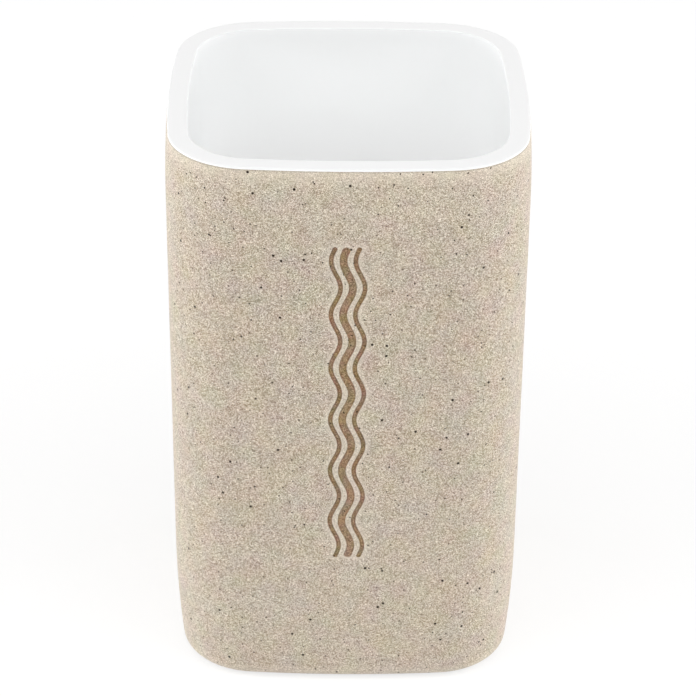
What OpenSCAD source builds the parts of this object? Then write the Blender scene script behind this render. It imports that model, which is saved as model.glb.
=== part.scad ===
// Bathroom tumbler: a cast sandstone-look sleeve with a white drop-in cup.
// Every wall follows one plan, a square whose corners are round and whose sides bow out a little.
// The plan's core is the square of the four corner centres, and a wall is a section carried round it.
// In a section, x is the distance out from the core and y is the height above the table.

/* [Overall] */
// Width over the middle of two opposite sides, at the shoulder where it is widest
overall_w = 71; // [64:0.5:84]
// Height from the table to the top of the rim
overall_h = 115.5; // [90:0.5:140]
// Outside radius of the upright corners, at the shoulder
corner_r = 16.7; // [14:0.1:20]
// How far the middle of each side stands out past its ends
side_bow = 0.73; // [0.4:0.01:1.5]

/* [Sleeve] */
// Thickness of the sleeve's wall at its top edge
sleeve_wall = 2.2; // [2:0.1:3]
// Thickness of the sleeve's floor
sleeve_floor = 4; // [3:0.1:6]
// How much each side leans in from the shoulder down to the table
side_taper = 0.5; // [0.1:0.05:1]
// Height of the rim above the shoulder, where the wall starts to lean in
shoulder_drop = 13.3; // [8:0.1:16]
// How far the wall has leaned in at the rim
shoulder_inset = 0.6; // [0.2:0.05:1.2]
// Height of the soft narrowing towards the foot
foot_h = 23.5; // [16:0.5:27]
// How far the wall has leaned in at the foot
foot_inset = 1.36; // [0.4:0.02:1.6]
// Radius that rounds the foot's lower edge
foot_r = 2.3; // [1.5:0.1:3]
// Width of the sleeve's top edge that the cup's thin lip covers
land_w = 0.9; // [0.7:0.05:1]
// Inside radius between the sleeve's wall and its floor
sleeve_cove = 6.5; // [5:0.5:8]

/* [Cup] */
// Thickness of the cup's wall
cup_wall = 1.5; // [1.2:0.1:2]
// Thickness of the cup's floor
cup_floor = 1.6; // [1.2:0.1:2.5]
// Thickness of the rim where it is let into the sleeve
rim_t = 1.4; // [1.2:0.1:2]
// Thickness of the lip that covers the sleeve's top edge
lip_t = 0.4; // [0.3:0.05:0.8]
// Inside radius between the cup's wall and its floor
cup_cove = 5; // [3:0.5:6]
// How much each wall of the cup leans in from rim to floor, so that it leaves its mould
cup_draft = 0.7; // [0.3:0.05:0.9]
// Gap between the cup and the sleeve's wall
cup_gap = 0.2; // [0.15:0.05:0.3]

/* [Seal and glue] */
// Thickness of the sealant bead under the rim
bead_t = 0.8; // [0.5:0.1:1.2]
// Gap on each side of the sealant bead
bead_gap = 0.1; // [0.05:0.05:0.15]
// Thickness of the glue dabs between the two floors
dab_t = 1.2; // [0.8:0.1:2]
// Radius of a glue dab where it meets a floor
dab_r = 4; // [2:0.25:6]
// How far a squeezed glue dab swells at half its height
dab_swell = 0.5; // [0.2:0.1:1]
// Distance of a glue dab from the middle, along each side
dab_place = 15; // [12:0.5:17]

/* [Base pad] */
// Width of the foam pad under the sleeve, over the middle of two opposite sides
pad_w = 55; // [46:0.5:57]
// Thickness of the pad
pad_t = 1.5; // [1:0.1:2]
// How far the pad stands out below the sleeve
pad_proud = 0.5; // [0.3:0.1:0.8]
// Gap round the pad in its recess
pad_gap = 0.3; // [0.2:0.05:0.5]

/* [Engraving] */
// Height of the ripple's lower end above the table
ripple_low = 30.8; // [28:0.2:40]
// Length of the ripple, along the side
ripple_len = 69; // [30:0.5:69]
// Length of one wave
ripple_wave = 11.5; // [9:0.5:16]
// How far a wave swings to each side
ripple_swing = 0.9; // [0.4:0.1:1.2]
// Distance between neighbouring ripple lines
ripple_pitch = 2.3; // [2:0.1:3]
// Width of the middle line
ripple_bold = 1.5; // [1:0.1:1.8]
// Width of the two outer lines
ripple_fine = 0.9; // [0.6:0.1:1.2]
// Depth of the lines
ripple_depth = 0.5; // [0.3:0.05:0.8]

/* [Hidden] */

// Overrun of every cut past the face that it opens
over = 1;
// Steps in a curved stretch of a section, in a corner and in a side of the plan
curve_steps = 6;
corner_steps = 14;
side_steps = 6;
// Steps in one wave of the ripple, and in the round end of a line
wave_steps = 12;
end_steps = 6;

// The core of the plan: half its width, the radius of the arc that bows each side, half that arc's angle
core = overall_w / 2 - side_bow - corner_r;
bow_r = (core * core + side_bow * side_bow) / (2 * side_bow);
bow_angle = asin(core / bow_r);

// Heights above the table
foot_z = pad_proud;
recess_z = pad_t;
sleeve_floor_z = foot_z + sleeve_floor;
cup_under_z = sleeve_floor_z + dab_t;
cup_floor_z = cup_under_z + cup_floor;
shoulder_z = overall_h - shoulder_drop;
land_z = overall_h - lip_t;
rim_under_z = overall_h - rim_t;
rebate_z = rim_under_z - bead_t;

// Distances out from the core
edge_x = corner_r - shoulder_inset;
rebate_x = edge_x - land_w;
bore_x = edge_x - sleeve_wall;
cup_x = bore_x - cup_gap;
mouth_x = cup_x - cup_wall;
pad_x = pad_w / 2 - core - side_bow;
recess_x = pad_x + pad_gap;

// Outside of the sleeve at height z, before the foot's lower edge is rounded
function lean(z) =
    corner_r
    - side_taper * max(0, shoulder_z - z) / shoulder_z
    - foot_inset * pow(max(0, 1 - (z - foot_z) / foot_h), 2)
    - shoulder_inset * pow(max(0, 1 - (overall_h - z) / shoulder_drop), 2);

// The cup's walls, and the bore that they drop into, lean in evenly from the rim to the floor
function drafted(x, z) = x - cup_draft * (overall_h - z) / (overall_h - cup_floor_z);

// Even steps in height up to high, without low itself
function rise(low, high) = [for (i = [1:curve_steps]) low + (high - low) * i / curve_steps];

// The round corner of radius r between a drafted wall and a floor, from the wall down
function cove(x, floor_z, r) = [
    for (i = [0:curve_steps])
        let (turn = 90 * i / curve_steps)
        [drafted(x, floor_z + r) - r * (1 - cos(turn)), floor_z + r * (1 - sin(turn))]
];

// One ring of the plan, x out from the core at height z, counterclockwise seen from above
function quarter_ring(x) = concat(
    [
        for (i = [0:corner_steps])
            let (turn = bow_angle + (90 - 2 * bow_angle) * i / corner_steps)
            [core + x * cos(turn), core + x * sin(turn)]
    ],
    [
        for (i = [1:side_steps - 1])
            let (turn = 90 + bow_angle * (2 * i / side_steps - 1))
            [(bow_r + x) * cos(turn), core + side_bow - bow_r + (bow_r + x) * sin(turn)]
    ]
);
function ring(x, z) = [
    for (quarter = [0:3], p = quarter_ring(x))
        [
            p.x * cos(90 * quarter) - p.y * sin(90 * quarter),
            p.x * sin(90 * quarter) + p.y * cos(90 * quarter),
            z
        ]
];

// A section carried once round the core.
// An open section starts and ends at a level face; a closed one makes a hoop.
module round_plan(section, hoop = false) {
    n = 4 * (corner_steps + side_steps);
    rows = len(section);
    last = rows - 1;
    points = [for (s = section, p = ring(s.x, s.y)) p];
    walls = [
        for (row = [0:hoop ? last : last - 1], i = [0:n - 1])
            let (next = (row + 1) % rows, j = (i + 1) % n)
            [row * n + i, next * n + i, next * n + j, row * n + j]
    ];
    ends = hoop ? [] : [
        [for (i = [0:n - 1]) i],
        [for (i = [n - 1:-1:0]) last * n + i]
    ];
    polyhedron(points, concat(walls, ends));
}

// Outside of the sleeve from the foot's lower edge to the top edge
sleeve_outside = concat(
    [
        for (i = [0:curve_steps])
            let (turn = 90 * i / curve_steps, z = foot_z + foot_r * (1 - cos(turn)))
            [lean(z) - foot_r * (1 - sin(turn)), z]
    ],
    [for (z = rise(foot_z + foot_r, foot_z + foot_h)) [lean(z), z]],
    [[lean(shoulder_z), shoulder_z]],
    [for (z = rise(shoulder_z, land_z)) [lean(z), z]]
);

// One ripple line: a band of the given width along a wave, with round ends, drawn up the side
function wave_at(z) = ripple_swing * sin(360 * z / ripple_wave);
function wave_turn(z) = atan(ripple_swing * 2 * PI / ripple_wave * cos(360 * z / ripple_wave));
module ripple_line(width) {
    steps = round(ripple_len / ripple_wave * wave_steps);
    r = width / 2;
    first = r;
    last = ripple_len - r;
    heights = [for (i = [0:steps]) first + (last - first) * i / steps];
    right = [for (z = heights) [wave_at(z) + r * cos(wave_turn(z)), z - r * sin(wave_turn(z))]];
    left = [
        for (i = [steps:-1:0])
            let (z = heights[i])
            [wave_at(z) - r * cos(wave_turn(z)), z + r * sin(wave_turn(z))]
    ];
    top = [
        for (i = [1:end_steps - 1])
            let (turn = 180 * i / end_steps - wave_turn(last))
            [wave_at(last) + r * cos(turn), last + r * sin(turn)]
    ];
    bottom = [
        for (i = [1:end_steps - 1])
            let (turn = 180 + 180 * i / end_steps - wave_turn(first))
            [wave_at(first) + r * cos(turn), first + r * sin(turn)]
    ];
    polygon(concat(right, top, left, bottom));
}

// The three ripple lines as cutters, leaning with the front of the sleeve
module ripple_cut() {
    lean_angle = atan(side_taper / shoulder_z);
    widths = [ripple_fine, ripple_bold, ripple_fine];
    translate([0, ripple_depth - overall_w / 2, shoulder_z])
        rotate([lean_angle, 0, 0])
            translate([0, 0, ripple_low - shoulder_z])
                rotate([90, 0, 0])
                    linear_extrude(ripple_depth + over)
                        for (i = [0:2])
                            translate([(i - 1) * ripple_pitch, 0])
                                ripple_line(widths[i]);
}

module outer_sleeve() {
    color("#c3b5a2")
    difference() {
        round_plan(concat(
            [[recess_x, recess_z], [recess_x, foot_z]],
            sleeve_outside,
            [[rebate_x, land_z], [rebate_x, rebate_z], [drafted(bore_x, rebate_z), rebate_z]],
            cove(bore_x, sleeve_floor_z, sleeve_cove)
        ));
        ripple_cut();
    }
}

module inner_cup() {
    color("white")
    round_plan(concat(
        [for (i = [curve_steps:-1:0]) cove(cup_x, cup_under_z, cup_cove + cup_floor)[i]],
        [
            [drafted(cup_x, rim_under_z), rim_under_z],
            [rebate_x - bead_gap, rim_under_z],
            [rebate_x - bead_gap, land_z],
            [edge_x, land_z],
            [edge_x, overall_h],
            [mouth_x, overall_h]
        ],
        cove(mouth_x, cup_floor_z, cup_cove)
    ));
}

module rim_seal() {
    color("gainsboro")
    round_plan([
        [drafted(cup_x, rim_under_z) + bead_gap, rim_under_z],
        [drafted(cup_x, rim_under_z) + bead_gap, rebate_z],
        [rebate_x - bead_gap, rebate_z],
        [rebate_x - bead_gap, rim_under_z]
    ], hoop = true);
}

// A dab of glue, squeezed between the two floors
module glue_dab(across, along) {
    color("ivory")
    translate([across * dab_place, along * dab_place, sleeve_floor_z])
        rotate_extrude($fn = 48)
            polygon(concat(
                [[0, 0]],
                [
                    for (i = [0:curve_steps])
                        let (share = i / curve_steps)
                        [dab_r + dab_swell * sin(180 * share), dab_t * share]
                ],
                [[0, dab_t]]
            ));
}

module base_pad() {
    color("dimgray")
    round_plan([[pad_x, 0], [pad_x, pad_t]]);
}

outer_sleeve();
inner_cup();
rim_seal();
glue_dab(-1, -1);  // glue_front_left
glue_dab(1, -1);  // glue_front_right
glue_dab(-1, 1);  // glue_back_left
glue_dab(1, 1);  // glue_back_right
base_pad();
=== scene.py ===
# %% [markdown]
# # A stone-look bathroom tumbler
# The real tumbler is two shells: a sleeve cast in a mould from resin filled with fine sand, and a white cup
# dropped into it. The cup's rim covers the sleeve's top edge, so only white shows from above. A foam pad is
# let into the underside, and a seal and four dabs of glue are hidden inside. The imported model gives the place
# and the outer size of every piece, and this lesson gives them their soft edges and their finishes.

# %% The frame
import math

import bmesh
import bpy
from mathutils import Matrix, Vector


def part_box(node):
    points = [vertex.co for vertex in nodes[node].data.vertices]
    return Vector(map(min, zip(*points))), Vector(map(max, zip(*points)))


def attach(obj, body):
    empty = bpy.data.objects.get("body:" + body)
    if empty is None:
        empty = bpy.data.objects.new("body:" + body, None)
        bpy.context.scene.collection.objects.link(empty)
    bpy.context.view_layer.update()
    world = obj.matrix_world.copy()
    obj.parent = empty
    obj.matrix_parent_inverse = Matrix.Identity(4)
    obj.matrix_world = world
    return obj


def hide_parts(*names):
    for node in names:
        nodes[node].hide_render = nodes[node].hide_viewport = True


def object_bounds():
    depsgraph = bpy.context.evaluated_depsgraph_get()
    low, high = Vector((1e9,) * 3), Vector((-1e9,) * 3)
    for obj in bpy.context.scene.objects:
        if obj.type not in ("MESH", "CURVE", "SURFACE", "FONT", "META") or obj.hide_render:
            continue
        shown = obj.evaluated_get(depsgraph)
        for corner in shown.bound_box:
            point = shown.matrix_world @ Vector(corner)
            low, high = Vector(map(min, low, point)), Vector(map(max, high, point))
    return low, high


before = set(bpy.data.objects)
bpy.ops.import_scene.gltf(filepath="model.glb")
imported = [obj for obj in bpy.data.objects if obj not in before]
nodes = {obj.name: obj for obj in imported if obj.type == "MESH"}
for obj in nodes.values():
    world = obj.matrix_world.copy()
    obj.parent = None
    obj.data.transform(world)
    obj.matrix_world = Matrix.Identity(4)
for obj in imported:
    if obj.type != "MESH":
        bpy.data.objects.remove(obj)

cad_low, cad_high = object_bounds()
print("nodes:", ", ".join(sorted(nodes)))
print("whole object, mm:", [round(1000 * (b - a), 2) for a, b in zip(cad_low, cad_high)])

# %% [markdown]
# ## One plan for every wall
# Seen from above, each wall follows the same plan: a square with round corners whose sides bow out a little.
# Such a plan can be kept as a list of points, but it is simpler as arcs. Round the square of the four corner
# centres, called the core here, run four corner arcs and four long flat arcs, and they meet without a kink.
# A wall is then one number, how far out it lies from the core, so shells nest inside each other exactly.

# %% Sizes from the frame
MM = 0.001
WIDTH = cad_high.x - cad_low.x
TOP = cad_high.z
CORNER = 16.7 * MM
BOW = 0.73 * MM
CORE = WIDTH / 2 - BOW - CORNER
BOW_R = (CORE**2 + BOW**2) / (2 * BOW)
BOW_ANGLE = math.asin(CORE / BOW_R)


def reach(node):
    """How far out from the core a node's widest wall lies."""
    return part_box(node)[1].x - CORE - BOW


EDGE = reach("inner_cup")
FOOT_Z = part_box("outer_sleeve")[0].z
LAND_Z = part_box("outer_sleeve")[1].z
CUP_UNDER_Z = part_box("inner_cup")[0].z
REBATE_Z, RIM_UNDER_Z = (corner.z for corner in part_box("rim_seal"))
SLEEVE_FLOOR_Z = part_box("glue_front_left")[0].z
rim_thick = TOP - RIM_UNDER_Z
print(f"core {CORE / MM:.2f} mm, rim edge {EDGE / MM:.2f} mm out, rim {rim_thick / MM:.2f} mm thick")

# %% [markdown]
# ## How the walls lean
# The sleeve leans in slightly from the shoulder to the table, draws in softly over its foot, and closes a
# little again just under the rim. The cup and the bore that it drops into have a straight mould draft.

# %% Wall curves
SHOULDER_DROP, SHOULDER_INSET = 13.3 * MM, 0.6 * MM
FOOT_H, FOOT_INSET, FOOT_R = 23.5 * MM, 1.36 * MM, 2.3 * MM
SIDE_TAPER = 0.5 * MM
CUP_FLOOR, CUP_WALL, CUP_GAP = 1.6 * MM, 1.5 * MM, 0.2 * MM
SLEEVE_WALL, LAND = 2.2 * MM, 0.9 * MM
CUP_DRAFT = 0.7 * MM
SHOULDER_Z = TOP - SHOULDER_DROP
CUP_FLOOR_Z = CUP_UNDER_Z + CUP_FLOOR


def lean(z):
    """How far out the sleeve's outside lies at height z."""
    taper = SIDE_TAPER * max(0, SHOULDER_Z - z) / SHOULDER_Z
    foot = FOOT_INSET * max(0, 1 - (z - FOOT_Z) / FOOT_H) ** 2
    shoulder = SHOULDER_INSET * max(0, 1 - (TOP - z) / SHOULDER_DROP) ** 2
    return CORNER - taper - foot - shoulder


def drafted(out, z):
    """How far out a drafted wall lies at height z, if it lies at out by the rim."""
    return out - CUP_DRAFT * (TOP - z) / (TOP - CUP_FLOOR_Z)


def heights(low, high, steps):
    """Even steps in height from low to high, both included."""
    return [low + (high - low) * i / steps for i in range(steps + 1)]


BORE = EDGE - SLEEVE_WALL
CUP_OUT = BORE - CUP_GAP
MOUTH = CUP_OUT - CUP_WALL
above_foot, at_shoulder = lean(FOOT_Z + FOOT_H) / MM, lean(SHOULDER_Z) / MM
print(f"sleeve's side {above_foot:.2f} mm out above the foot, {at_shoulder:.2f} mm at the shoulder")

# %% [markdown]
# ## Draw a section, then spin it round
# A shell like this could be carved from a cube or lofted from rings. Here its section is drawn as a chain of
# edges, extruded point by point, and then spun about each arc's centre in turn. That is how a template is
# run round a plaster model, and it leaves clean rows of four-sided faces that bevel well.

# %% Helpers for modelling
CORNER_STEPS, SIDE_STEPS = 24, 14
SMOOTH_BELOW = math.radians(32)
SAME_PLACE = 0.01 * MM
ONE_POINT = 0.001 * MM
DOWN = (0, 0, -1)


def deselect():
    """Leaves edit mode, if it is on, and selects nothing."""
    if bpy.context.object and bpy.context.object.mode == "EDIT":
        bpy.ops.object.mode_set(mode="OBJECT")
    bpy.ops.object.select_all(action="DESELECT")


def edit(piece):
    """Opens edit mode on one piece, with nothing selected in it."""
    deselect()
    bpy.context.view_layer.objects.active = piece
    piece.select_set(True)
    bpy.ops.object.mode_set(mode="EDIT")
    bpy.ops.mesh.select_mode(type="VERT")
    bpy.ops.mesh.select_all(action="DESELECT")


def draw_section(name, points):
    """A chain of edges through (out, height) points, in the plane where the first corner arc starts."""
    angle = BOW_ANGLE - math.pi / 2
    across, along = math.cos(angle), math.sin(angle)
    chain = [Vector((CORE + out * across, -CORE + out * along, z)) for out, z in points]
    deselect()
    bpy.ops.mesh.primitive_plane_add(size=MM, location=chain[0])
    piece = bpy.context.object
    piece.name = piece.data.name = name
    bpy.ops.object.transform_apply(location=True, rotation=False, scale=False)
    edit(piece)
    bpy.ops.mesh.select_all(action="SELECT")
    bpy.ops.mesh.merge(type="CENTER")
    for here, there in zip(chain, chain[1:]):
        bpy.ops.mesh.extrude_region_move(TRANSFORM_OT_translate={"value": there - here})
    return piece


def spin_round_plan(piece):
    """Carries the drawn section round the four corners and four sides, and closes it on itself."""
    corner_sweep, side_sweep = math.pi / 2 - 2 * BOW_ANGLE, 2 * BOW_ANGLE
    bpy.ops.mesh.select_all(action="SELECT")
    for quarter in range(4):
        turn = Matrix.Rotation(quarter * math.pi / 2, 3, "Z")
        corner = turn @ Vector((CORE, -CORE, 0))
        side = turn @ Vector((CORE + BOW - BOW_R, 0, 0))
        # The axis points down, because a positive spin about an upward axis turns clockwise.
        bpy.ops.mesh.spin(steps=CORNER_STEPS, angle=corner_sweep, center=corner, axis=DOWN)
        bpy.ops.mesh.spin(steps=SIDE_STEPS, angle=side_sweep, center=side, axis=DOWN)
    bpy.ops.mesh.select_all(action="SELECT")
    bpy.ops.mesh.remove_doubles(threshold=ONE_POINT)
    print(piece.name, "spun:", len(bmesh.from_edit_mesh(piece.data).faces), "faces")


def out_of_core(x, y):
    """How far out from the core a point of the plan lies: the reverse of the spin."""
    x, y = max(abs(x), abs(y)), min(abs(x), abs(y))
    if y - CORE <= (x - CORE) * math.tan(BOW_ANGLE):
        return math.hypot(x - (CORE + BOW - BOW_R), y) - BOW_R
    return math.hypot(x - CORE, y - CORE)


def select_ring(piece, out, z):
    """Selects the edges that run round the plan at one place of the section."""
    mesh = bmesh.from_edit_mesh(piece.data)
    bpy.ops.mesh.select_all(action="DESELECT")
    bpy.ops.mesh.select_mode(type="EDGE")
    count = 0
    for edge in mesh.edges:
        ends = [(out_of_core(v.co.x, v.co.y), v.co.z) for v in edge.verts]
        edge.select_set(all(abs(o - out) < SAME_PLACE and abs(h - z) < SAME_PLACE for o, h in ends))
        count += edge.select
    mesh.select_flush_mode()
    bmesh.update_edit_mesh(piece.data)
    return count


def close_ring(piece, out, z, margin):
    """Fills one open end of a shell with a level face, and insets it so that its border shades flat."""
    select_ring(piece, out, z)
    bpy.ops.mesh.edge_face_add()
    bpy.ops.mesh.inset(thickness=margin, use_boundary=True)


def round_ring(piece, out, z, radius, steps):
    """Rounds the edge that runs round the plan at one place of the section."""
    count = select_ring(piece, out, z)
    bpy.ops.mesh.bevel(offset=radius, offset_type="OFFSET", segments=steps, profile=0.5, affect="EDGES")
    print(f"{piece.name}: {count} edges at {z / MM:.1f} mm rounded to {radius / MM:.2f} mm")


def finish_piece(piece, *cad_nodes, slot):
    """Turns faces outwards, smooths them, hangs the piece on the root, and hides the nodes it replaces."""
    edit(piece)
    bpy.ops.mesh.select_all(action="SELECT")
    bpy.ops.mesh.normals_make_consistent(inside=False)
    deselect()
    bpy.context.view_layer.objects.active = piece
    piece.select_set(True)
    bpy.ops.object.shade_smooth_by_angle(angle=SMOOTH_BELOW)
    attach(piece, "root")
    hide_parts(*cad_nodes)
    deselect()
    print(piece.name, "has", len(piece.data.polygons), "faces")


print("points round the plan:", 4 * (CORNER_STEPS + SIDE_STEPS))

# %% [markdown]
# ## The sleeve
# The sleeve is a cast cup in itself: outside wall, top edge with a step for the seal, bore, and a floor 4 mm
# thick. Its section has only the points where it changes, and rows in the soft curves. The foot's edge and
# the inside corner are bevels, because one bevel along a ring is even all the way round. A row a little way
# past each bevel keeps the long walls shading flat.

# %% Sleeve
SLEEVE_COVE = 6.5 * MM
JOINT_R, RECESS_R = 0.15 * MM, 0.3 * MM
PAD_GAP = 0.3 * MM
FOOT_ROWS, SIDE_ROWS, SHOULDER_ROWS = 8, 8, 9
PAST_FOOT, PAST_COVE = 1.4, 1.3
PAST_EDGE = 2 * MM
FLAT_MARGIN = 1 * MM
PAD_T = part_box("base_pad")[1].z
RECESS = reach("base_pad") + PAD_GAP
bore_floor_out = drafted(BORE, SLEEVE_FLOOR_Z)
foot_rows = heights(FOOT_Z + PAST_FOOT * FOOT_R, FOOT_Z + FOOT_H, FOOT_ROWS)
side_rows = heights(FOOT_Z + FOOT_H, SHOULDER_Z, SIDE_ROWS)[1:]
shoulder_rows = heights(SHOULDER_Z, LAND_Z, SHOULDER_ROWS)[1:]
bore_rows = [REBATE_Z, REBATE_Z - PAST_EDGE, SLEEVE_FLOOR_Z + PAST_COVE * SLEEVE_COVE, SLEEVE_FLOOR_Z]
sleeve_section = [(RECESS, PAD_T), (RECESS, FOOT_Z), (lean(FOOT_Z), FOOT_Z)]
sleeve_section += [(lean(z), z) for z in foot_rows + side_rows + shoulder_rows]
sleeve_section += [(EDGE - LAND, LAND_Z), (EDGE - LAND, REBATE_Z)]
sleeve_section += [(drafted(BORE, z), z) for z in bore_rows]
sleeve = draw_section("stone_sleeve", sleeve_section)
spin_round_plan(sleeve)
close_ring(sleeve, RECESS, PAD_T, FLAT_MARGIN)
close_ring(sleeve, bore_floor_out, SLEEVE_FLOOR_Z, SLEEVE_COVE + FLAT_MARGIN)
round_ring(sleeve, lean(FOOT_Z), FOOT_Z, FOOT_R, steps=8)
round_ring(sleeve, bore_floor_out, SLEEVE_FLOOR_Z, SLEEVE_COVE, steps=8)
round_ring(sleeve, RECESS, FOOT_Z, RECESS_R, steps=3)
round_ring(sleeve, lean(LAND_Z), LAND_Z, JOINT_R, steps=3)
deselect()

# %% [markdown]
# ## The engraved ripple
# The front of the sleeve carries three engraved lines that ripple like water, the middle one bolder. A groove
# can be inset and pushed in face by face, but a cutter is cleaner: each line is a curve bent to the wave and
# given a round rod's thickness, and a Boolean takes the rod out of the wall. A rod whose centre lies a little
# outside the wall leaves a shallow groove of just the wanted width and depth.

# %% Ripple
RIPPLE_LOW, RIPPLE_LEN = 30.8 * MM, 69 * MM
WAVE, SWING = 11.5 * MM, 0.9 * MM
PITCH = 2.3 * MM
BOLD, FINE = 1.5 * MM, 0.9 * MM
BOLD_DEPTH, FINE_DEPTH = 0.5 * MM, 0.42 * MM
RIPPLE_LINES = [(-PITCH, FINE, FINE_DEPTH), (0, BOLD, BOLD_DEPTH), (PITCH, FINE, FINE_DEPTH)]
STEPS_PER_WAVE = 20
END_STEPS = 6
THINNEST_END = 0.02


def front_face(z):
    """Where the middle of the sleeve's front lies at height z."""
    return -(CORE + BOW + lean(z))


def rod_radius(width, depth):
    """The radius of a rod that leaves a groove of that width and depth."""
    return (width**2 / 4 + depth**2) / (2 * depth)


def ripple_rod(across, width, depth):
    """A rod along one ripple line that cuts a groove of that width and depth, with round ends."""
    radius = rod_radius(width, depth)
    steps = round(RIPPLE_LEN / WAVE * STEPS_PER_WAVE)
    ends = [radius * (1 - math.cos(math.pi / 2 * i / END_STEPS)) for i in range(END_STEPS)]
    up = ends + [z for z in heights(0, RIPPLE_LEN, steps) if radius < z < RIPPLE_LEN - radius]
    up += [RIPPLE_LEN - z for z in reversed(ends)]
    curve = bpy.data.curves.new("ripple_rod", "CURVE")
    curve.dimensions = "3D"
    curve.bevel_depth = radius
    curve.bevel_resolution = 5
    curve.use_fill_caps = True
    line = curve.splines.new("POLY")
    line.points.add(len(up) - 1)
    for point, z in zip(line.points, up):
        from_end = min(z, RIPPLE_LEN - z, radius)
        point.co = (
            across + SWING * math.sin(2 * math.pi * z / WAVE),
            front_face(RIPPLE_LOW + z) + depth - radius,
            RIPPLE_LOW + z,
            1,
        )
        point.radius = max(THINNEST_END, math.sqrt(1 - (1 - from_end / radius) ** 2))
    rod = bpy.data.objects.new("ripple_rod", curve)
    bpy.context.scene.collection.objects.link(rod)
    deselect()
    bpy.context.view_layer.objects.active = rod
    rod.select_set(True)
    bpy.ops.object.convert(target="MESH")
    return bpy.context.object


for across, width, depth in RIPPLE_LINES:
    rod = ripple_rod(across, width, depth)
    cut = sleeve.modifiers.new("groove", "BOOLEAN")
    cut.operation = "DIFFERENCE"
    cut.solver = "EXACT"
    cut.object = rod
    deselect()
    bpy.context.view_layer.objects.active = sleeve
    bpy.ops.object.modifier_apply(modifier=cut.name)
    bpy.data.objects.remove(rod)
    print(f"groove {width / MM:.1f} mm wide at {across / MM:+.1f} mm: {len(sleeve.data.polygons)} faces")

# %% [markdown]
# ## The white cup
# The cup is moulded plastic: a thin drafted shell with a flat rim. Where the rim meets the sleeve it steps
# down to a thin lip, so the white ends in a fine line. The section is the same kind of chain, and the two rim
# edges and the two floor corners are bevels.

# %% Cup
CUP_COVE = 5 * MM
RIM_IN_R, RIM_OUT_R = 0.15 * MM, 0.12 * MM
STEP_GAP = 0.1 * MM
RIM_MARGIN_OUT, RIM_MARGIN_IN = 0.9 * MM, 1.1 * MM
WALL_ROWS = 10
PAST_RIM = 1.5 * MM
STEP_IN = EDGE - LAND - STEP_GAP
cup_floor_out = drafted(MOUTH, CUP_FLOOR_Z)
cup_under_out = drafted(CUP_OUT, CUP_UNDER_Z)
under_cove = CUP_COVE + CUP_FLOOR
outside_rows = [CUP_UNDER_Z, CUP_UNDER_Z + PAST_COVE * under_cove, RIM_UNDER_Z - PAST_EDGE, RIM_UNDER_Z]
wall_rows = heights(CUP_FLOOR_Z + PAST_COVE * CUP_COVE, TOP - PAST_RIM, WALL_ROWS)
cup_section = [(drafted(CUP_OUT, z), z) for z in outside_rows]
cup_section += [(STEP_IN, RIM_UNDER_Z), (STEP_IN, LAND_Z), (EDGE, LAND_Z), (EDGE, TOP)]
cup_section += [(EDGE - RIM_MARGIN_OUT, TOP), (MOUTH + RIM_MARGIN_IN, TOP), (MOUTH, TOP)]
cup_section += [(drafted(MOUTH, z), z) for z in reversed(wall_rows)]
cup_section += [(cup_floor_out, CUP_FLOOR_Z)]
cup = draw_section("white_cup", cup_section)
spin_round_plan(cup)
close_ring(cup, cup_under_out, CUP_UNDER_Z, under_cove + FLAT_MARGIN)
close_ring(cup, cup_floor_out, CUP_FLOOR_Z, CUP_COVE + FLAT_MARGIN)
round_ring(cup, cup_under_out, CUP_UNDER_Z, under_cove, steps=8)
round_ring(cup, cup_floor_out, CUP_FLOOR_Z, CUP_COVE, steps=10)
round_ring(cup, MOUTH, TOP, RIM_IN_R, steps=4)
round_ring(cup, EDGE, TOP, RIM_OUT_R, steps=3)
deselect()

# %% [markdown]
# ## The foam pad
# A sheet of closed-cell foam, die-cut to the recess. Its cut edges are square on the upper side, which is
# glued, and a little soft on the side that stands on the shelf.

# %% Pad
PAD_R = 0.25 * MM
pad_out = reach("base_pad")
pad = draw_section("foam_pad", [(pad_out, 0), (pad_out, PAD_T / 2), (pad_out, PAD_T)])
spin_round_plan(pad)
close_ring(pad, pad_out, 0, FLAT_MARGIN)
close_ring(pad, pad_out, PAD_T, FLAT_MARGIN)
round_ring(pad, pad_out, 0, PAD_R, steps=3)
deselect()

# %% [markdown]
# ## Colours and nodes
# Hex colours are read off in sRGB, and shaders work in linear light, so one function turns the first into the
# second. One more function adds a shader node with its settings and links, which keeps each material short.

# %% Helpers for materials


def linear(colour):
    """A hex sRGB colour as a linear one, with alpha 1."""
    channels = [int(colour[i : i + 2], 16) / 255 for i in (1, 3, 5)]
    return tuple(c / 12.92 if c <= 0.04045 else ((c + 0.055) / 1.055) ** 2.4 for c in channels) + (1,)


def new_material(name):
    """An empty node material and its output node."""
    material = bpy.data.materials.new(name)
    material.use_nodes = True
    material.node_tree.nodes.clear()
    return material, material.node_tree.nodes.new("ShaderNodeOutputMaterial")


def add_node(material, kind, sockets=None, **settings):
    """Adds one shader node. A socket is given a value, or another node's output to link from."""
    tree = material.node_tree
    node = tree.nodes.new("ShaderNode" + kind)
    for name, value in settings.items():
        setattr(node, name, value)
    for socket, value in (sockets or {}).items():
        if isinstance(value, bpy.types.NodeSocket):
            tree.links.new(value, node.inputs[socket])
        else:
            node.inputs[socket].default_value = value
    return node


def per_mm(size):
    """The texture scale at which one cell or wave is size millimetres long."""
    return 1 / (size * MM)


def give(piece, material):
    """Makes one material the piece's only one."""
    piece.data.materials.clear()
    piece.data.materials.append(material)
    print(piece.name, "is", material.name, "of", len(material.node_tree.nodes), "nodes")


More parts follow.
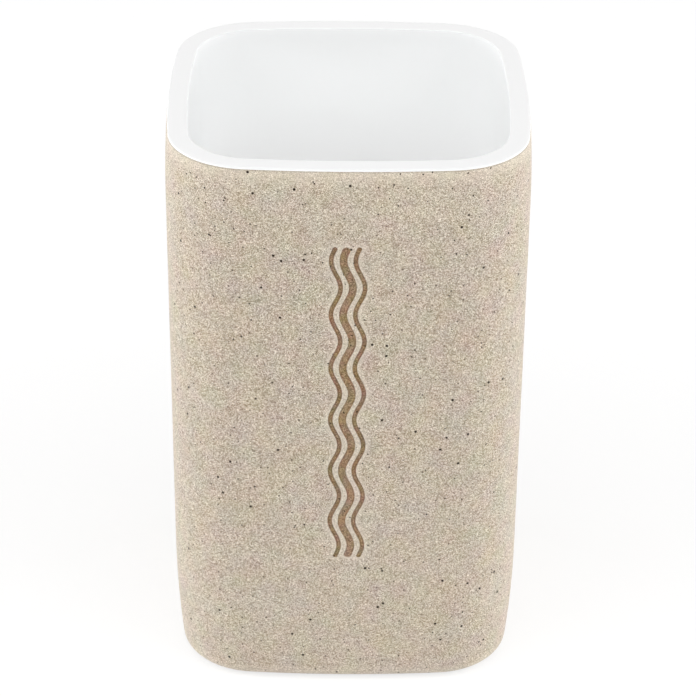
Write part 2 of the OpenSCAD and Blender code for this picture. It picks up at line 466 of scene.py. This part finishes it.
# %% [markdown]
# ## Sandstone-look resin
# The real finish is unpolished polyester resin filled with quartz sand, cast against a fine mould. The eye
# sees a matt skin of packed grains, pale and dark side by side, with a few dark mineral specks. Each grain
# is one cell of a Voronoi texture with its own shade, and the gaps between grains are darker. Fine moulding
# sand is 0.1 to 0.2 mm across, and two such sizes are laid over each other so that no cell pattern shows.

# %% Sandstone
GRAINS = ((0.17, 0, 0.5), (0.13, 1, 0.5))
GAP_SHADE, SHADE_LIFT = -0.35, 0.16
stone, stone_out = new_material("cast_sandstone_resin")
place = add_node(stone, "TexCoord").outputs["Object"]


def maths(operation, a, b=0.0, c=0.0):
    """One step of arithmetic in the stone's material."""
    return add_node(stone, "Math", {0: a, 1: b, 2: c}, operation=operation).outputs[0]


def blend(share, a, b, how="MIX"):
    """Mixes two colours in the stone's material."""
    return add_node(stone, "Mix", {0: share, 6: a, 7: b}, data_type="RGBA", blend_type=how).outputs[2]


shade = 0.0
gaps = 0.0
for size, channel, weight in GRAINS:
    cells = add_node(stone, "TexVoronoi", {"Vector": place, "Scale": per_mm(size)})
    own_shade = add_node(stone, "SeparateColor", {0: cells.outputs["Color"]}).outputs[channel]
    shade = maths("MULTIPLY_ADD", own_shade, weight, shade)
    gaps = maths("MULTIPLY_ADD", cells.outputs["Distance"], weight, gaps)
shade = maths("MULTIPLY_ADD", gaps, GAP_SHADE, maths("ADD", shade, SHADE_LIFT))
grain_tones = add_node(stone, "ValToRGB", {0: shade})
stops = grain_tones.color_ramp.elements
stops[0].position, stops[1].position = 0.05, 0.95
stops[0].color, stops[1].color = linear("#70604e"), linear("#f4ecde")
stops.new(0.5).color = linear("#bbad9a")
print("grains of", " and ".join(f"{size} mm" for size, channel, weight in GRAINS))

# %% [markdown]
# The resin isn't one colour all over: soft pink, green and yellow clouds a few millimetres wide drift through
# it. The noise's colour is added round its own middle, so it moves the hue and leaves the brightness alone.

# %% Clouds of colour
CLOUD_SIZE, CLOUD_SHARE = 4.5, 0.034
clouds = add_node(stone, "TexNoise", {"Vector": place, "Scale": per_mm(CLOUD_SIZE), "Detail": 1.0})
tinted = blend(CLOUD_SHARE, grain_tones.outputs[0], clouds.outputs["Color"], "LINEAR_LIGHT")
print("clouds", CLOUD_SIZE, "mm wide")

# %% [markdown]
# The material colours the grooves by their distance, worked out from the wave and pitch that cut them. Down
# the side a line swings with the sine of the height, so a point's distance across the line is its own x less
# that swing, shortened by the line's slope. Past a round end the height is held at the end's centre, and what
# it lacks is added as the other side of a triangle.

# %% Distance from the ripple
FAR_OFF = 1.0
FRONT_DEPTH = 3 * MM
axes = add_node(stone, "SeparateXYZ", {0: place}).outputs
distance = FAR_OFF
for across, width, depth in RIPPLE_LINES:
    end = rod_radius(width, depth)
    along = maths("MINIMUM", maths("MAXIMUM", axes[2], RIPPLE_LOW + end), RIPPLE_LOW + RIPPLE_LEN - end)
    phase = maths("MULTIPLY", maths("SUBTRACT", along, RIPPLE_LOW), 2 * math.pi / WAVE)
    slope = maths("MULTIPLY", maths("COSINE", phase), SWING * 2 * math.pi / WAVE)
    shorten = maths("INVERSE_SQRT", maths("MULTIPLY_ADD", slope, slope, 1.0))
    off_line = maths("SUBTRACT", maths("MULTIPLY_ADD", maths("SINE", phase), -SWING, axes[0]), across)
    sideways = maths("MULTIPLY", off_line, shorten)
    past_end = maths("SUBTRACT", axes[2], along)
    flat = add_node(stone, "CombineXYZ", {0: sideways, 1: past_end})
    length = add_node(stone, "VectorMath", {0: flat.outputs[0]}, operation="LENGTH").outputs["Value"]
    distance = maths("MINIMUM", distance, maths("SUBTRACT", length, width / 2))
on_front = maths("LESS_THAN", axes[1], FRONT_DEPTH - WIDTH / 2)
print("distance field for", len(RIPPLE_LINES), "ripple lines")

# %% [markdown]
# The cut goes through the pale skin into browner resin, so the grooves keep the grain but are darker and
# warmer. Along their edges they are painted darker still: painted shade for the shadow on the groove walls.
# The tool rubs the skin beside them smooth and pale, in a band about a millimetre wide.

# %% Sandstone round the grooves
HALO_FROM, HALO_TO, HALO_SHARE = 1.1 * MM, 0.2 * MM, 0.42
EDGE_BLUR = 0.08 * MM
EDGE_SHADE_FROM, EDGE_SHADE_TO = -0.4 * MM, -0.1 * MM
HUE_SIZE, HUE_SHARE = 2.2, 0.12
near = {"From Min": HALO_FROM, "From Max": HALO_TO, "To Min": 0.0, "To Max": HALO_SHARE}
halo = add_node(stone, "MapRange", {"Value": distance, **near}, interpolation_type="SMOOTHSTEP").outputs[0]
within = {"Value": distance, "From Min": EDGE_BLUR, "From Max": -EDGE_BLUR}
groove = add_node(stone, "MapRange", within, interpolation_type="SMOOTHSTEP").outputs[0]
groove = maths("MULTIPLY", groove, on_front)
rubbed = blend(maths("MULTIPLY", halo, on_front), tinted, linear("#dcd1c1"))
# Painted shade: the darker brown towards each groove's edge stands for the shadow on the groove walls.
painted_edge_shade_range = {"Value": distance, "From Min": EDGE_SHADE_FROM, "From Max": EDGE_SHADE_TO}
edge_shade_share = add_node(stone, "MapRange", painted_edge_shade_range, interpolation_type="SMOOTHSTEP").outputs[0]
brown_with_edge_shade = blend(edge_shade_share, linear("#d3bea5"), linear("#bba286"))
hues = add_node(stone, "TexNoise", {"Vector": place, "Scale": per_mm(HUE_SIZE), "Detail": 1.0})
browns_with_edge_shade = blend(HUE_SHARE, brown_with_edge_shade, hues.outputs["Color"], "LINEAR_LIGHT")
cut_skin = blend(groove, rubbed, blend(1.0, tinted, browns_with_edge_shade, "MULTIPLY"))
print(f"pale halo from {HALO_TO / MM:.1f} to {HALO_FROM / MM:.1f} mm beside each groove")

# %% [markdown]
# The skin is painted paler in the last 4 mm under the rim and along the foot, as painted light for the
# light from above on the leaning shoulder and for the floor's bounce onto the foot. A wider and much
# fainter band of painted light reaches further down from the rim and up from the foot.

# %% Painted light at the rim and foot
PAINTED_LIGHT_BANDS = ((LAND_Z, -22, 0.05), (FOOT_Z, 65, 0.05), (LAND_Z, -4, 0.32), (FOOT_Z, 4, 0.42))
skin_with_painted_light_and_shade = cut_skin
for edge_z, mm_away, most in PAINTED_LIGHT_BANDS:
    painted_light_band = {"Value": axes[2], "From Min": edge_z + mm_away * MM, "From Max": edge_z, "To Max": most}
    share = add_node(stone, "MapRange", painted_light_band, interpolation_type="SMOOTHSTEP").outputs[0]
    # Painted light: a paler tone stands for the light on the shoulder and the floor's bounce at the foot.
    skin_with_painted_light_and_shade = blend(share, skin_with_painted_light_and_shade, linear("#e9decd"))
    print(f"wear reaches {mm_away:+d} mm from {edge_z / MM:.1f} mm up, {most:.0%} at most")

# %% [markdown]
# Under the cup's lip, a fine dark line is painted on the sleeve: painted shade for the shadow in the joint.

# %% Painted shade under the lip
JOINT_FROM, JOINT_TO, JOINT_SHADE_SHARE = 0.4 * MM, 0.15 * MM, 0.45
painted_joint_shade = {"From Min": LAND_Z - JOINT_FROM, "From Max": LAND_Z - JOINT_TO, "To Max": JOINT_SHADE_SHARE}
painted_joint_shade["Value"] = axes[2]
share = add_node(stone, "MapRange", painted_joint_shade, interpolation_type="SMOOTHSTEP").outputs[0]
# Painted shade: a dark grey line stands for the shadow in the joint under the lip.
skin_with_painted_light_and_shade = blend(share, skin_with_painted_light_and_shade, linear("#8f877b"))
print(f"joint line {JOINT_FROM / MM:.1f} mm wide")

# %% [markdown]
# Dark specks are sparse: about one in a square centimetre shows well, and the largest are 0.3 mm in radius,
# with more and smaller ones between them. A Voronoi cell's centre is a point in space, so a small ball round
# it cuts the surface in a dot of any size up to its own. The gaps between grains and finer pits make the
# relief, and the grains shine a little where they are pale.

# %% Specks, relief and gloss
SPECKS = ((3.5, 0.3, "#241304"), (1.75, 0.185, "#2c1a0a"))
SPECK_CORE = 0.78
PIT_SIZE, PIT_HEIGHT, GAP_HEIGHT = 0.4, 0.7, -0.8
RELIEF = {"Strength": 0.3, "Distance": 0.05 * MM}
DULLEST, GRAIN_SHINE = 0.95, -0.25
colour = skin_with_painted_light_and_shade
for cell, radius, tone in SPECKS:
    dots = add_node(stone, "TexVoronoi", {"Vector": place, "Scale": per_mm(cell)})
    ball = {"From Min": radius / cell, "From Max": SPECK_CORE * radius / cell}
    dot = add_node(stone, "MapRange", {"Value": dots.outputs["Distance"], **ball}).outputs[0]
    colour = blend(dot, colour, linear(tone))
pits = add_node(stone, "TexNoise", {"Vector": place, "Scale": per_mm(PIT_SIZE), "Detail": 2.0})
relief = maths("MULTIPLY_ADD", gaps, GAP_HEIGHT, maths("MULTIPLY", pits.outputs[0], PIT_HEIGHT))
bump = add_node(stone, "Bump", {"Height": relief, **RELIEF})
gloss = maths("MULTIPLY_ADD", shade, GRAIN_SHINE, DULLEST)
finish = {"Roughness": gloss, "Normal": bump.outputs[0], "IOR": 1.5, "Specular IOR Level": 0.25}
dust = {"Sheen Weight": 0.2, "Sheen Roughness": 0.5}
skin = add_node(stone, "BsdfPrincipled", {"Base Color": colour, **finish, **dust})
stone.node_tree.links.new(skin.outputs[0], stone_out.inputs[0])
give(sleeve, stone)

# %% [markdown]
# ## Moulded plastic
# The cup is white styrene plastic from a polished mould. The eye sees soft, even gloss and a very slight
# waviness, and no texture. The rim is handled, which polishes it in fine scratches. One colour ramp down
# the depth paints light and shade into the white: the rim, and its rounded edges most of all, are painted
# a shade greyer, and the wall is painted brighter the deeper it lies, to even out the light in the cup.

# %% White plastic
RIM_FROM, RIM_TO = 0.4 * MM, 0.05 * MM
DEEPEST = 32
PAINTED_RIM_SHADE, PAINTED_DEEP_LIGHT = "#e9e9e9", "#fefefe"
PAINTED_WALL_TONES = ((0.03, "#dcdcdc"), (0.11, "#dfe0e0"), (0.16, "#f6f7f7"), (5, "#f8f9f9"), (16, "#fbfcfc"))
SCRATCH_SIZE, WAVE_SIZE = 0.8, 18
MOULD_ROUGH, RUBBED_ROUGH = 0.42, 0.30
white, white_out = new_material("moulded_white_plastic")
place = add_node(white, "TexCoord").outputs["Object"]
height = add_node(white, "SeparateXYZ", {0: place}).outputs[2]
deep = {"Value": height, "From Min": TOP, "From Max": TOP - DEEPEST * MM}
depth = add_node(white, "MapRange", deep).outputs[0]
# Painted light and shade: this ramp greys the rim and its rounded edges and brightens the wall with depth.
cup_tones_with_painted_light = add_node(white, "ValToRGB", {0: depth})
stops = cup_tones_with_painted_light.color_ramp.elements
for mm_down, tone in PAINTED_WALL_TONES:
    stops.new(mm_down / DEEPEST).color = linear(tone)
stops[0].color = linear(PAINTED_RIM_SHADE)
stops[len(stops) - 1].color = linear(PAINTED_DEEP_LIGHT)
on_rim = {"Value": height, "From Min": TOP - RIM_FROM, "From Max": TOP - RIM_TO}
rim_share = add_node(white, "MapRange", on_rim, interpolation_type="SMOOTHSTEP").outputs[0]
scratches = add_node(white, "TexNoise", {"Vector": place, "Scale": per_mm(SCRATCH_SIZE), "Detail": 3.0})
rub = add_node(white, "Math", {0: scratches.outputs[0], 1: rim_share}, operation="MULTIPLY").outputs[0]
gloss = add_node(white, "MapRange", {"Value": rub, "To Min": MOULD_ROUGH, "To Max": RUBBED_ROUGH}).outputs[0]
wavy = add_node(white, "TexNoise", {"Vector": place, "Scale": per_mm(WAVE_SIZE), "Detail": 1.0}).outputs[0]
bump = add_node(white, "Bump", {"Height": wavy, "Strength": 0.12, "Distance": 0.2 * MM}).outputs[0]
finish = {"Roughness": gloss, "IOR": 1.53, "Normal": bump}
plastic = add_node(white, "BsdfPrincipled", {"Base Color": cup_tones_with_painted_light.outputs[0], **finish})
white.node_tree.links.new(plastic.outputs[0], white_out.inputs[0])
give(cup, white)

# %% [markdown]
# ## Foam, sealant and glue
# The pad is dark closed-cell foam with a skin of burst bubbles. The seal is cured silicone and the dabs are
# set epoxy, both hidden, but each still has its own finish: silicone is smooth and milky, epoxy is yellowish.

# %% Small materials


def mottled(name, colours, size, roughness, relief, ior):
    """A moulded material with two close tones, and bumps whose size and relief are in millimetres."""
    material, out = new_material(name)
    here = add_node(material, "TexCoord").outputs["Object"]
    cells = add_node(material, "TexVoronoi", {"Vector": here, "Scale": per_mm(size)})
    bumps = add_node(material, "Bump", {"Height": cells.outputs["Distance"], "Distance": relief * MM})
    tones = {0: cells.outputs["Distance"], 6: linear(colours[0]), 7: linear(colours[1])}
    mix = add_node(material, "Mix", tones, data_type="RGBA")
    sockets = {"Base Color": mix.outputs[2], "Roughness": roughness, "IOR": ior, "Normal": bumps.outputs[0]}
    shader = add_node(material, "BsdfPrincipled", sockets)
    material.node_tree.links.new(shader.outputs[0], out.inputs[0])
    return material


foam = mottled("closed_cell_foam", ("#3b3b3a", "#565654"), 0.6, 0.95, 0.12, 1.5)
silicone = mottled("cured_silicone", ("#dcdcd8", "#e4e4e0"), 6, 0.35, 0.02, 1.41)
epoxy = mottled("set_epoxy", ("#d8cfb4", "#e0d8c0"), 4, 0.25, 0.02, 1.55)
give(pad, foam)
give(nodes["rim_seal"], silicone)
for name in ("glue_front_left", "glue_front_right", "glue_back_left", "glue_back_right"):
    give(nodes[name], epoxy)

# %% [markdown]
# ## Each piece joins the frame
# A spin may leave faces inside out, so they are turned outwards first. Smoothing by angle keeps the bevels
# soft and the lips of the grooves crisp. Then each piece is hung on the frame's root, and the nodes of the
# imported model that it replaces are hidden.

# %% Pieces in the frame
finish_piece(sleeve, "outer_sleeve", slot="sandstone_resin")
finish_piece(cup, "inner_cup", slot="white_plastic")
finish_piece(pad, "base_pad", slot="foam")

# %% [markdown]
# ## The stage
# A pale floor, and a white world round it. The camera and the object's gloss see the floor mostly as plain
# white, and the rest of its colour is the lit floor, so the shadow still shows but the floor never glares.
# The world is white to them too, and as a light it is dimmer, because the lamps do that work.

# %% Floor and world
FLOOR_SIZE = 3.0
PLAIN_WHITE = 0.72
AMBIENT = 0.20


def looking(holder):
    """1 for a ray that looks at the backdrop, straight, by gloss or through glass, and 0 for any other."""
    rays = add_node(holder, "LightPath").outputs
    straight = {0: rays["Is Camera Ray"], 1: rays["Is Glossy Ray"]}
    either = add_node(holder, "Math", straight, operation="MAXIMUM").outputs[0]
    through = {0: either, 1: rays["Is Transmission Ray"]}
    return add_node(holder, "Math", through, operation="MAXIMUM").outputs[0]


deselect()
bpy.ops.mesh.primitive_plane_add(size=FLOOR_SIZE, location=(0, 0, 0))
floor = bpy.context.object
floor.name = "floor"
paper, paper_out = new_material("white_backdrop_paper")
direct = looking(paper)
tones = {0: direct, 6: linear("#e8e8e8"), 7: linear("#ffffff")}
tone = add_node(paper, "Mix", tones, data_type="RGBA").outputs[2]
lit = add_node(paper, "BsdfDiffuse", {"Color": tone})
plain = add_node(paper, "Emission", {"Color": linear("#ffffff"), "Strength": 1.0})
seen = add_node(paper, "Math", {0: direct, 1: PLAIN_WHITE}, operation="MULTIPLY").outputs[0]
both = add_node(paper, "MixShader", {0: seen, 1: lit.outputs[0], 2: plain.outputs[0]})
paper.node_tree.links.new(both.outputs[0], paper_out.inputs[0])
give(floor, paper)

world = bpy.data.worlds.new("studio")
bpy.context.scene.world = world
world.use_nodes = True
strength = add_node(world, "MapRange", {"Value": looking(world), "To Min": AMBIENT, "To Max": 1.0}).outputs[0]
background = world.node_tree.nodes["Background"]
background.inputs["Color"].default_value = linear("#ffffff")
world.node_tree.links.new(strength, background.inputs["Strength"])

# %% [markdown]
# ## Lamps
# Three wide soft boxes in front and above light the face and reach into the cup, and a weak one overhead
# fills the cup's floor. A pair of wide boxes and a pair of flat strips stand at the sides, a little behind
# the object, and make its round corners paler than its flat front. The strips are flat and low, so that they
# shine little over the rim onto the cup's walls. Two more strips fill the back, from far enough round that
# the glossy rim doesn't mirror them to the camera. A lamp's level is the share of plain white that it alone
# would give a white card facing it.

# %% Lamps
LAMP_DISTANCE = 2.0
LAMPS = (
    ("top_box", 0, 90, 1.4, 1.4, 0.07),
    ("front_box", 0, 48, 1.6, 1.6, 0.40),
    ("front_left_box", -60, 40, 1.4, 1.4, 0.42),
    ("front_right_box", 60, 40, 1.4, 1.4, 0.42),
    ("left_box", -100, 10, 1.3, 1.3, 0.33),
    ("right_box", 100, 10, 1.3, 1.3, 0.33),
    ("low_left_box", -105, 2, 0.7, 0.24, 0.22),
    ("low_right_box", 105, 2, 0.7, 0.24, 0.22),
    ("back_left_box", -142, 2, 0.7, 0.24, 0.17),
    ("back_right_box", 142, 2, 0.7, 0.24, 0.17),
)


def soft_box(name, azimuth, elevation, wide, high, level):
    """A soft box aimed at the object. Azimuth 0 is in front, and +90 is at the right."""
    lamp = bpy.data.lights.new(name, "AREA")
    lamp.shape = "RECTANGLE"
    lamp.size = wide
    lamp.size_y = high
    lamp.energy = level * math.pi**2 * LAMP_DISTANCE**2
    holder = bpy.data.objects.new(name, lamp)
    bpy.context.scene.collection.objects.link(holder)
    side, up = math.radians(azimuth), math.radians(elevation)
    towards = Vector((math.sin(side) * math.cos(up), -math.cos(side) * math.cos(up), math.sin(up)))
    holder.location = Vector((0, 0, TOP / 2)) + LAMP_DISTANCE * towards
    holder.rotation_euler = towards.to_track_quat("Z", "Y").to_euler()
    print(f"{name}: {wide} by {high} m, level {level}")


for lamp_row in LAMPS:
    soft_box(*lamp_row)

# %% [markdown]
# ## The camera
# The photograph was taken from about 0.6 m with a long lens, looking down at nearly 30 degrees. The numbers
# were found by fitting the plan's outline to the photograph's, and the picture is square.

# %% Camera
PITCH_DOWN, YAW, ROLL = math.radians(29.24), math.radians(-0.40), math.radians(0.53)
CAMERA_DISTANCE = 598.8 * MM
AIM = Vector((0.33, 0, 58.52)) * MM
camera_data = bpy.data.cameras.new("camera")
camera_data.lens = 152.37
camera_data.sensor_width = 36.0
camera = bpy.data.objects.new("camera", camera_data)
bpy.context.scene.collection.objects.link(camera)
turn = Matrix.Rotation(YAW, 3, "Z") @ Matrix.Rotation(math.pi / 2 - PITCH_DOWN, 3, "X")
turn = turn @ Matrix.Rotation(ROLL, 3, "Z")
camera.matrix_world = Matrix.Translation(AIM + turn @ Vector((0, 0, CAMERA_DISTANCE))) @ turn.to_4x4()
bpy.context.scene.camera = camera
bpy.context.scene.view_settings.view_transform = "Standard"
print(f"camera {CAMERA_DISTANCE:.2f} m away with a {camera_data.lens:.0f} mm lens")
